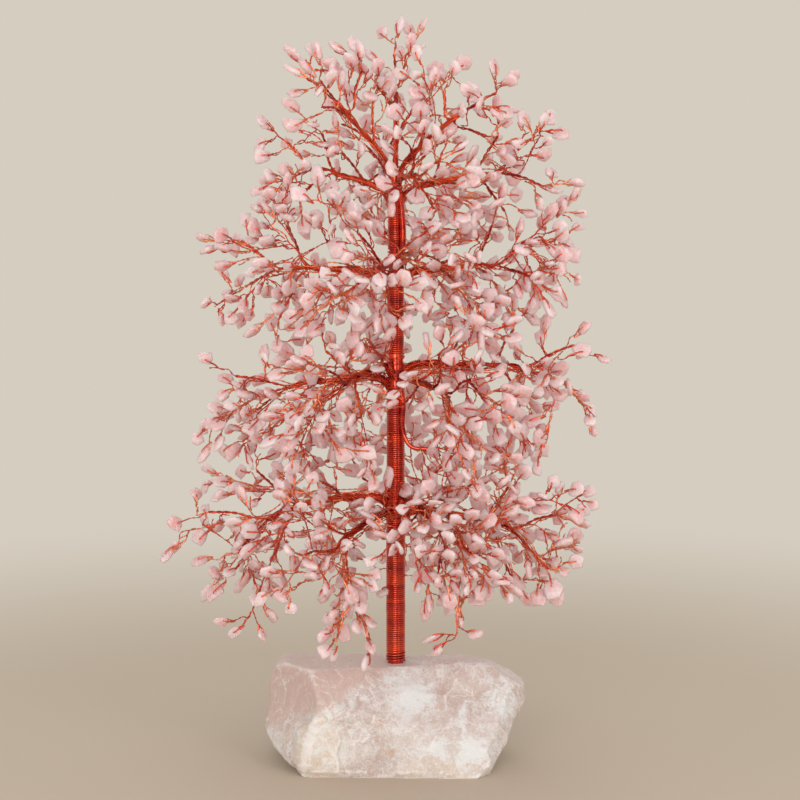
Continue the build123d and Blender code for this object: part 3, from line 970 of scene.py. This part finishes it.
class Spray:
    """A thin pair of wires that leaves a stem or bough"""

    def __init__(self, name, carrier):
        self.carrier = carrier
        self.share = draw.uniform(0.3, 1.0)
        self.foot = carrier.at(self.share)
        out = unit(np.array([self.foot[0], self.foot[1], 0.0]) + 1e-9)
        lean = upright(SPRAY_LEAN[tier_of(name)])
        self.way = unit(carrier.way * 0.5 + scattered(0.6) + out * 0.25 + lean)
        self.length = draw.uniform(*SPRAY_LENGTHS_MM) * MM
        self.end = self.foot + self.way * self.length
        self.fits = canopy_allows(self.end) and np.hypot(self.end[0], self.end[1]) > SPRAY_CLEARANCE

    def knots(self, limb):
        """Most sprays run beside their limb from the trunk, a little apart from it and from each other"""
        tail = [self.foot + self.way * 2.5 * MM]
        tail += [self.foot + self.way * self.length * place + scattered(0.8 * MM) for place in (0.35, 0.7)]
        tail.append(self.end)
        if draw.random() < SHORT_SPRAYS:
            return [self.foot - self.carrier.way * min(8 * MM, self.share * self.carrier.length), *tail]
        knots = limb.way_to(self.carrier, self.share)
        apart = scattered(SPRAY_LOOSENESS)
        loose = [knot + apart + scattered(0.5 * MM) for knot in knots[2:]]
        return knots[:2] + loose + tail


class Canopy:
    """All leaves so far, with the room that their chips take"""

    def __init__(self):
        self.centres = np.array([nugget.centre() for nugget in shapes])
        self.leaves = {name: [] for name in limb_names}
        self.sprays = {name: [] for name in limb_names}

    def chips_of(self, name):
        """A limb's own chips, and those that were added to it"""
        return nuggets[name] + [leaf.nugget for leaf in self.leaves[name]]

    def gap(self, point):
        return np.linalg.norm(self.centres - point, axis=1).min()

    def leaf(self, foot, way, carrier_way):
        """A twig in a way, with a chip shape turned to follow it, if there is room"""
        length = draw.uniform(*LEAF_LENGTHS_MM) * MM
        shape = draw.choice(shapes)
        end = foot + way * length
        sides = [frame_about(way + scattered(0.25), scattered(1.0)) for _ in range(2)]
        axes = max(sides, key=lambda ways: abs(ways[1][1]))
        nugget = Nugget(end, axes, shape.corners * draw.uniform(*LEAF_GROWTH))
        centre = nugget.centre()
        is_off_trunk = np.hypot(centre[0], centre[1]) > LEAF_CLEARANCE
        if is_off_trunk and canopy_allows(centre) and self.gap(centre) > CHIP_SPACE:
            self.centres = np.vstack([self.centres, centre])
            return Leaf(foot, carrier_way, nugget, 3 * MM)
        return None

    def plant(self, name, spray):
        """Gives a spray its leaves, and keeps it if any of them finds room"""
        leaves = []
        for place in LEAF_PLACES:
            for _ in range(LEAF_TRIES):
                leaf_way = unit(spray.way * (0.45 + 0.5 * place) + scattered(0.5))
                leaf = self.leaf(spray.foot + spray.way * spray.length * place, leaf_way, spray.way)
                if leaf:
                    leaves.append(leaf)
                    break
        if leaves:
            self.leaves[name] += leaves
            self.sprays[name].append(spray)
        return bool(leaves)

    def tie_to_trunk(self, rows):
        """A few twigs that leave the trunk between its tiers, each with its chip"""
        for height, bearing, distance, rise, length in np.array(rows) * [MM, 1, MM, 1, MM]:
            turn, tilt = math.radians(bearing), math.radians(rise)
            out = np.array([math.cos(turn), math.sin(turn), 0.0])
            foot = upright(height) + out * distance
            way = out * math.cos(tilt) + upright(math.sin(tilt))
            shape = draw.choice(shapes)
            nugget = Nugget(foot + way * length, frame_about(way, scattered(1.0)), shape.corners)
            tier = max((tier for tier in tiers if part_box("twigs_" + tier)[0][2] < height), key=tiers.index)
            name = limbs_in(tier)[0]
            self.centres = np.vstack([self.centres, nugget.centre()])
            self.leaves[name].append(Leaf(foot, np.cross(out, [0, 0, 1.0]), nugget, 4 * MM))

    def fill(self):
        """Sprays on each limb, every second one where the canopy is thinnest"""
        self.tie_to_trunk(TRUNK_TWIGS)
        for name in limb_names:
            carriers = limbs[name].boughs + limbs[name].stems[1:]
            wanted = TIER_SPRAYS[tier_of(name)] + MORE_SPRAYS.get(name, 0)
            count = 0
            for number in range(SPRAY_TRIES):
                if count == wanted:
                    break
                options = SPRAY_OPTIONS if number % 2 else 1
                sprays = [Spray(name, draw.choice(carriers)) for _ in range(options)]
                sprays = [spray for spray in sprays if spray.fits]
                if sprays:
                    count += self.plant(name, max(sprays, key=lambda spray: self.gap(spray.end)))
        self.tie_to_trunk(FRONT_TWIGS)


def twist_twigs(tier, canopy):
    """The twisted pairs of a tier, from the boughs to the chips"""
    outline = flat_profile("pair_outline_" + tier, TWIG_PROFILE)
    wires = Wires("twisted_twigs_" + tier, outline)
    names = limbs_in(tier)
    carriers = [bough for name in names for bough in limbs[name].boughs]
    own = twigs[tier]
    for twig in own:
        others = carriers + [rod for rod in own if rod is not twig]
        near = min(others, key=lambda rod: rod.distance(twig.foot)[0])
        back = min(4 * MM, near.distance(twig.foot)[1] * near.length)
        lay_twig(wires, twig_knots(twig.foot, near.way, twig.end, back))
        lay_prong(wires, twig.foot, twig.end)
    for name in names:
        for leaf in canopy.leaves[name]:
            lay_twig(wires, twig_knots(leaf.foot, leaf.way, leaf.nugget.seat, leaf.back))
            lay_prong(wires, leaf.foot, leaf.nugget.seat)
        for spray in canopy.sprays[name]:
            lay_twig(wires, spray.knots(limbs[name]))
    piece = wires.mesh()
    bpy.data.objects.remove(outline)
    keep(piece, TWIG_FINISH, "copper_wire", "twigs_" + tier)


def tie_chips(tier, canopy):
    """The wire ends that run over both faces of each chip and into its drilled hole"""
    wires = Wires("chip_ties_" + tier)
    wires.curve.bevel_resolution = 0
    for name in limbs_in(tier):
        for nugget in canopy.chips_of(name):
            face = nugget.thickness * CHIP_FLATNESS / 2 + 0.35 * TIE_WIRE
            hole = nugget.length * draw.uniform(*HOLE_PLACE)
            lean = draw.uniform(-0.14, 0.14) * nugget.length
            for side in (-1, 1):
                knots = [
                    (0.0, side * 0.3 * TIE_WIRE, -2.6 * MM),
                    (0.1 * lean, side * 0.7 * face, -0.02 * nugget.length),
                    (0.5 * lean, side * (face + 0.25 * MM), 0.45 * hole),
                    (0.9 * lean, side * (face + 0.2 * MM), hole),
                    (lean, side * 0.4 * face, hole + 0.6 * MM),
                ]
                line, _ = bent_line(nugget.seat + np.array(knots) @ nugget.axes, TIE_STEP)
                wires.lay(line, TIE_WIRE)
    keep(wires.mesh(), TWIG_FINISH, "copper_wire")


def tumble_chips(name, canopy):
    """The chips of a limb: rounded from their corners, each with its own tone"""
    corners, faces, tones = [], [], []
    for nugget in canopy.chips_of(name):
        first = len(corners)
        tone = draw.random()
        for corner in nugget.flake():
            corners.append(corner)
            tones.append(tone)
        faces += [[first + number for number in face] for face in flake_faces()]
    mesh = bpy.data.meshes.new("tumbled_chips_" + name)
    mesh.from_pydata([tuple(corner) for corner in corners], [], faces)
    mesh.attributes.new("tone", "FLOAT", "POINT").data.foreach_set("value", tones)
    creases = mesh.attributes.new("crease_edge", "FLOAT", "EDGE")
    creases.data.foreach_set("value", np.full(len(mesh.edges), CHIP_CREASE))
    piece = put(mesh.name, mesh)
    take(piece)
    rounding = piece.modifiers.new("rounding", "SUBSURF")
    rounding.levels = rounding.render_levels = 1
    bpy.ops.object.modifier_apply(modifier="rounding")
    bpy.ops.object.shade_smooth()
    keep(piece, CHIP_FINISH, "quartz_chips", "chips_" + name)


def wind(name, radius, low, high, wire, pitch, steps, flatness=1.0):
    """A wire wound round the trunk from one height to another, pressed flat against it"""
    let_go()
    bpy.ops.mesh.primitive_circle_add(
        vertices=WINDING_SIDES, radius=wire, location=(radius, 0, low + wire), rotation=(math.pi / 2, 0, 0)
    )
    piece = bpy.context.object
    piece.name = name
    piece.scale.x = flatness
    bpy.ops.object.transform_apply(location=True, rotation=True, scale=True)
    turns = piece.modifiers.new("turns", "SCREW")
    turns.axis = "Z"
    turns.iterations = max(1, round((high - low - 2 * wire) / pitch))
    turns.screw_offset = (high - low - 2 * wire) / turns.iterations
    turns.steps = turns.render_steps = steps
    bpy.ops.object.modifier_apply(modifier="turns")
    bpy.ops.object.mode_set(mode="EDIT")
    bpy.ops.mesh.select_all(action="SELECT")
    bpy.ops.mesh.fill_holes(sides=0)
    bpy.ops.mesh.select_all(action="SELECT")
    bpy.ops.mesh.normals_make_consistent(inside=False)
    bpy.ops.object.mode_set(mode="OBJECT")
    points = vertex_values(piece.data, "co")
    swell = np.array([noise.noise((7.0, 0.0, height / SWELL_HEIGHT)) for height in points[:, 2]])
    points[:, :2] *= 1 + WINDING_SWELL * swell[:, None]
    piece.data.vertices.foreach_set("co", points.ravel())
    piece.data.update()
    bpy.ops.object.shade_smooth()
    return piece


def join_pieces(pieces, name):
    """Joins pieces into the first of them"""
    take(pieces[0])
    for piece in pieces:
        piece.select_set(True)
    bpy.ops.object.join()
    pieces[0].name = name
    return pieces[0]


def wind_trunk():
    """Fine wire close-wound over each stretch of the trunk, and heavier turns at two places"""
    for tier in tiers[:4]:
        low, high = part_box("trunk_wrap_" + tier)
        radius = (high[0] - low[0]) / 2 - TRUNK_WIRE * WINDING_FLATNESS
        floor = low[2] - (TRUNK_OVERHANG if tier == "lowest" else 0)
        shares = LOWEST_WINDING_SHARES if tier == "lowest" else [0.0, 1.0]
        edges = [floor + (high[2] - floor) * share for share in shares]
        lengths = []
        for number, (bottom, top) in enumerate(zip(edges, edges[1:])):
            room = radius + (SECOND_LENGTH_RISE if number == 1 else 0.0)
            bottom = bottom - (TRUNK_PITCH if number else 0.0)
            piece = wind("length", room, bottom, top, TRUNK_WIRE, TRUNK_PITCH, TRUNK_STEPS, WINDING_FLATNESS)
            lengths.append(piece)
        piece = join_pieces(lengths, "fine_winding_" + tier)
        keep(piece, TRUNK_FINISH, "copper_wire", "trunk_wrap_" + tier)
    rings = []
    for corners in corners_of("trunk_bindings"):
        low, high = corners[:, 2].min(), corners[:, 2].max()
        radius = np.hypot(corners[:, 0], corners[:, 1]).max() - HEAVY_WIRE
        rings.append(wind("turns", radius, low, high, HEAVY_WIRE, HEAVY_PITCH, HEAVY_STEPS))
    keep(join_pieces(rings, "heavy_turns"), TRUNK_FINISH, "copper_wire", "trunk_bindings")


def lace_collars():
    """Slanting turns of wire round the trunk where each tier's limbs come out of it"""
    edges = [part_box("trunk_wrap_" + tier) for tier in tiers[:4]]
    spans = [(edges[number][1][2], edges[number + 1][0][2]) for number in range(3)]
    spans.append((edges[3][1][2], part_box("trunk_core")[1][2]))
    for tier, (low, high), (box_low, box_high) in zip(tiers, spans, edges):
        wires = Wires("crossing_wires_" + tier)
        radius = (box_high[0] - box_low[0]) / 2 - COLLAR_DEPTH
        for number in range(COLLAR_WIRES):
            start = draw.uniform(0, FULL_TURN)
            turn = draw.uniform(*COLLAR_TURNS) * FULL_TURN
            shares = np.linspace(0, 1, 40)
            angle = start + turn * shares
            rise = draw.choice([-1, 1]) * draw.uniform(*COLLAR_RISES_MM) * MM
            middle = low + (high - low) * (number + 0.5) / COLLAR_WIRES
            height = np.clip(middle + rise * (shares - 0.5), low - 1 * MM, high + 1 * MM)
            room = radius + draw.uniform(-0.3, 0.35) * MM
            wires.lay(np.column_stack([room * np.cos(angle), room * np.sin(angle), height]), COLLAR_WIRE)
        keep(wires.mesh(), TRUNK_FINISH, "copper_wire")


def bind_side_bundles():
    """Two thinner bundles on the right of the trunk, close-wound: the lower one leaves it as a small limb"""
    low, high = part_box("trunk_wrap_upper")
    reach = (high[0] - low[0]) / 2 + 0.35 * SIDE_BUNDLE
    right, front = reach * math.cos(SIDE_BEARING), reach * math.sin(SIDE_BEARING)
    foot, top = low[2] - 8 * MM, high[2] + 4 * MM
    upper = [(0.5 * right, 0.5 * front, foot), (right, front, foot + 7 * MM), (right, front, top - 9 * MM)]
    upper.append((0.7 * right, 0.7 * front, top))
    low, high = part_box("trunk_wrap_lower")
    reach = (high[0] - low[0]) / 2 + 0.5 * SIDE_BUNDLE
    right, front = reach * math.cos(SIDE_BEARING), reach * math.sin(SIDE_BEARING)
    lower = [(0.6 * right, 0.6 * front, high[2] + 6 * MM), (right, front, high[2] - 2 * MM)]
    lower += [(right, front, 193 * MM), (1.9 * right, 1.3 * front, 185 * MM), (25 * MM, -7 * MM, 183 * MM)]
    wires = Wires("side_bundles")
    wires.curve.bevel_resolution = 3
    for knots in (upper, lower):
        line, _ = bent_line(knots, 1.5 * MM)
        wires.lay(line, SIDE_BUNDLE * np.linspace(1.0, 0.6 if knots is lower else 1.0, len(line)))
    wind_along(wires, upper, SIDE_BUNDLE, 0.0, 1.0)
    wind_along(wires, lower, SIDE_BUNDLE, 0.0, 0.55)
    keep(wires.mesh(), TRUNK_FINISH, "copper_wire")


def smoothed(mesh, points, times):
    """The points of a mesh, each drawn a number of times to the middle of its neighbours"""
    ends = np.empty(len(mesh.edges) * 2, dtype=int)
    mesh.edges.foreach_get("vertices", ends)
    ends = ends.reshape(-1, 2)
    counts = np.bincount(ends.ravel(), minlength=len(points))[:, None]
    for _ in range(times):
        sums = np.zeros_like(points)
        np.add.at(sums, ends[:, 0], points[ends[:, 1]])
        np.add.at(sums, ends[:, 1], points[ends[:, 0]])
        points = sums / counts
    return points


def fracture(points, chooser, count, tilt, depth):
    """Heights of a broken surface: shallow bowls side by side with ridges between them"""
    seeds = points[chooser.integers(len(points), size=count)]
    tilts = chooser.normal(0, tilt, (count, 3))
    tree = kdtree.KDTree(count)
    for number, seed in enumerate(seeds):
        tree.insert(seed, number)
    tree.balance()
    size = math.sqrt(len(points) / count) * STONE_GRAIN
    heights = np.empty(len(points))
    for number, point in enumerate(points):
        ragged = Vector(point) + noise.noise_vector(Vector(point) * RAGGED_WAVE / size) * RAGGEDNESS * size
        bowls = []
        for _, cell, gap in tree.find_n(ragged, NEAR_BOWLS):
            bowls.append(4 * depth * (gap / size) ** 2 + (np.array(ragged) - seeds[cell]) @ tilts[cell])
        heights[number] = min(bowls)
    return np.clip(heights - heights.mean(), DEEPEST, HIGHEST)


def vertex_values(mesh, name):
    """A value of three numbers for each of a mesh's vertices"""
    values = np.empty(len(mesh.vertices) * 3)
    mesh.vertices.foreach_get(name, values)
    return values.reshape(-1, 3)


def break_stone():
    """The stone: the frame's block with a lump, a bulge, shallow bowls, rough grain and a sawn underside"""
    chooser = np.random.default_rng(SEED)
    mesh = merged_copy("base_stone")
    data = bpy.data.meshes.new("rough_stone")
    mesh.to_mesh(data)
    mesh.free()
    piece = put("rough_stone", data)
    take(piece)
    low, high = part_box("base_stone")
    remesh = piece.modifiers.new("grain", "REMESH")
    remesh.mode = "VOXEL"
    remesh.voxel_size = STONE_GRAIN
    bpy.ops.object.modifier_apply(modifier="grain")
    start = vertex_values(piece.data, "co")
    normals = vertex_values(piece.data, "normal")
    inside_lump = np.clip(1 - np.linalg.norm((start - LUMP_PLACE) / LUMP_SIZES, axis=1), 0, 1)
    ragged = np.array([noise.noise((0.0, 3.0, height / LUMP_EDGE_WAVE)) for height in start[:, 2]])
    edge = LUMP_EDGE + LUMP_EDGE_SWAY * ragged
    before_edge = np.clip((edge - start[:, 0]) / LUMP_EDGE_FADE, 0, 1)
    points = smoothed(piece.data, start, STONE_ROUNDING)
    points = points + normals * (LUMP_RISE * np.sqrt(inside_lump) * before_edge)[:, None]
    inside_bulge = np.clip(1 - (((start - BULGE_PLACE) / BULGE_SIZES) ** 2).sum(axis=1), 0, 1)
    points = points + normals * (BULGE_RISE * inside_bulge)[:, None]
    is_clear = np.clip((start[:, 2] - CLEAR_SLOPE * start[:, 0] - CLEAR_HEIGHT) / CLEAR_FADE, 0, 1)
    is_clear = is_clear * (start[:, 0] < 0)
    depth = sum(fracture(start, chooser, *bowls) for bowls in STONE_BOWLS)
    for number, point in enumerate(start):
        depth[number] += GRAIN_RISE * noise.fractal(Vector(point) * GRAIN_WAVE, 0.6, 2.0, 4)
    points = points + normals * (depth * (1 - CLEAR_SMOOTHNESS * is_clear))[:, None]
    from_trunk = np.hypot(start[:, 0], start[:, 1])
    loose = np.clip((from_trunk - SEAT_RADIUS) / SEAT_FADE, 0, 1)
    is_seat = start[:, 2] > high[2] - SEAT_HEIGHT
    loose = np.where(is_seat | (from_trunk < SEAT_RADIUS), loose, 1.0)
    loose = loose * np.clip((start[:, 2] - low[2] - UNDERSIDE_RIM) / UNDERSIDE_FADE, 0, 1)
    points = start + (points - start) * loose[:, None]
    points[:, 2] = np.clip(points[:, 2], low[2], None)
    piece.data.vertices.foreach_set("co", points.ravel())
    piece.data.update()
    # How far each point stands above its neighbours, which the finish uses for a painted highlight along
    # ridges
    ridge = piece.data.attributes.new("ridge", "FLOAT", "POINT")
    stand = (points - smoothed(piece.data, points, 3)) * vertex_values(piece.data, "normal")
    ridge.data.foreach_set("value", np.clip(stand.sum(axis=1) / RIDGE_HEIGHT, 0, 1))
    # How far each face looks up, which the finish uses to paint the top paler as painted light
    upward = piece.data.attributes.new("upward", "FLOAT", "POINT")
    upward.data.foreach_set("value", np.clip(normals[:, 2], 0, 1))
    bpy.ops.object.shade_smooth_by_angle(angle=math.radians(30))
    keep(piece, STONE_FINISH, "rough_quartz", "base_stone")


def set_stage():
    """Floor, lamps, pale surroundings and the camera"""
    let_go()
    bpy.ops.mesh.primitive_plane_add(size=FLOOR_SIZE, location=(0, 0, 0))
    floor = bpy.context.object
    floor.name = "floor"
    floor.data.materials.append(pale_floor())
    for name, place, size, power in LAMPS:
        bpy.ops.object.light_add(type="AREA", location=place)
        lamp = bpy.context.object
        lamp.name = name
        lamp.data.shape = "RECTANGLE"
        lamp.data.size, lamp.data.size_y = size
        lamp.data.energy = power
        lamp.rotation_euler = (LAMP_AIM - Vector(place)).to_track_quat("-Z", "Y").to_euler()
    world = bpy.data.worlds.new("pale_room")
    world.use_nodes = True
    world.node_tree.nodes.clear()
    room = Dye(world.node_tree, None)
    path = room.make("ShaderNodeLightPath")
    rays = {output.name: Dye(world.node_tree, output) for output in path.socket.node.outputs}
    seen = rays["Is Camera Ray"].reckon("MAXIMUM", rays["Is Camera Ray"], rays["Is Glossy Ray"])
    seen = seen.reckon("MAXIMUM", seen, rays["Is Transmission Ray"])
    light = room.make("ShaderNodeBackground", None, {"Color": ROOM_LIGHT, "Strength": ROOM_STRENGTH})
    shown = room.make("ShaderNodeBackground", None, {"Color": ROOM_COLOUR, "Strength": 1.0})
    room.make("ShaderNodeMixShader", None, {0: seen, 1: light, 2: shown}).end_in("ShaderNodeOutputWorld")
    bpy.context.scene.world = world

    back = Vector((0, -math.cos(CAMERA_ELEVATION), math.sin(CAMERA_ELEVATION)))
    bpy.ops.object.camera_add(location=CAMERA_AIM + CAMERA_DISTANCE * back)
    camera = bpy.context.object
    camera.rotation_euler = (math.pi / 2 - CAMERA_ELEVATION, 0, 0)
    camera.data.sensor_width = CAMERA_SENSOR
    camera.data.lens = CAMERA_LENS
    bpy.context.scene.camera = camera
    bpy.context.scene.view_settings.view_transform = "Standard"


canopy = Canopy()
canopy.fill()
for name in limb_names:
    bundle_limb(limbs[name])
    tumble_chips(name, canopy)
for tier in tiers:
    twist_twigs(tier, canopy)
    tie_chips(tier, canopy)
wind_trunk()
lace_collars()
bind_side_bundles()
break_stone()
for node, finish in (("trunk_core", TRUNK_FINISH), ("adhesive_bed", ADHESIVE_FINISH)):
    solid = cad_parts[node]
    solid.data.materials.clear()
    solid.data.materials.append(finish)
set_stage()
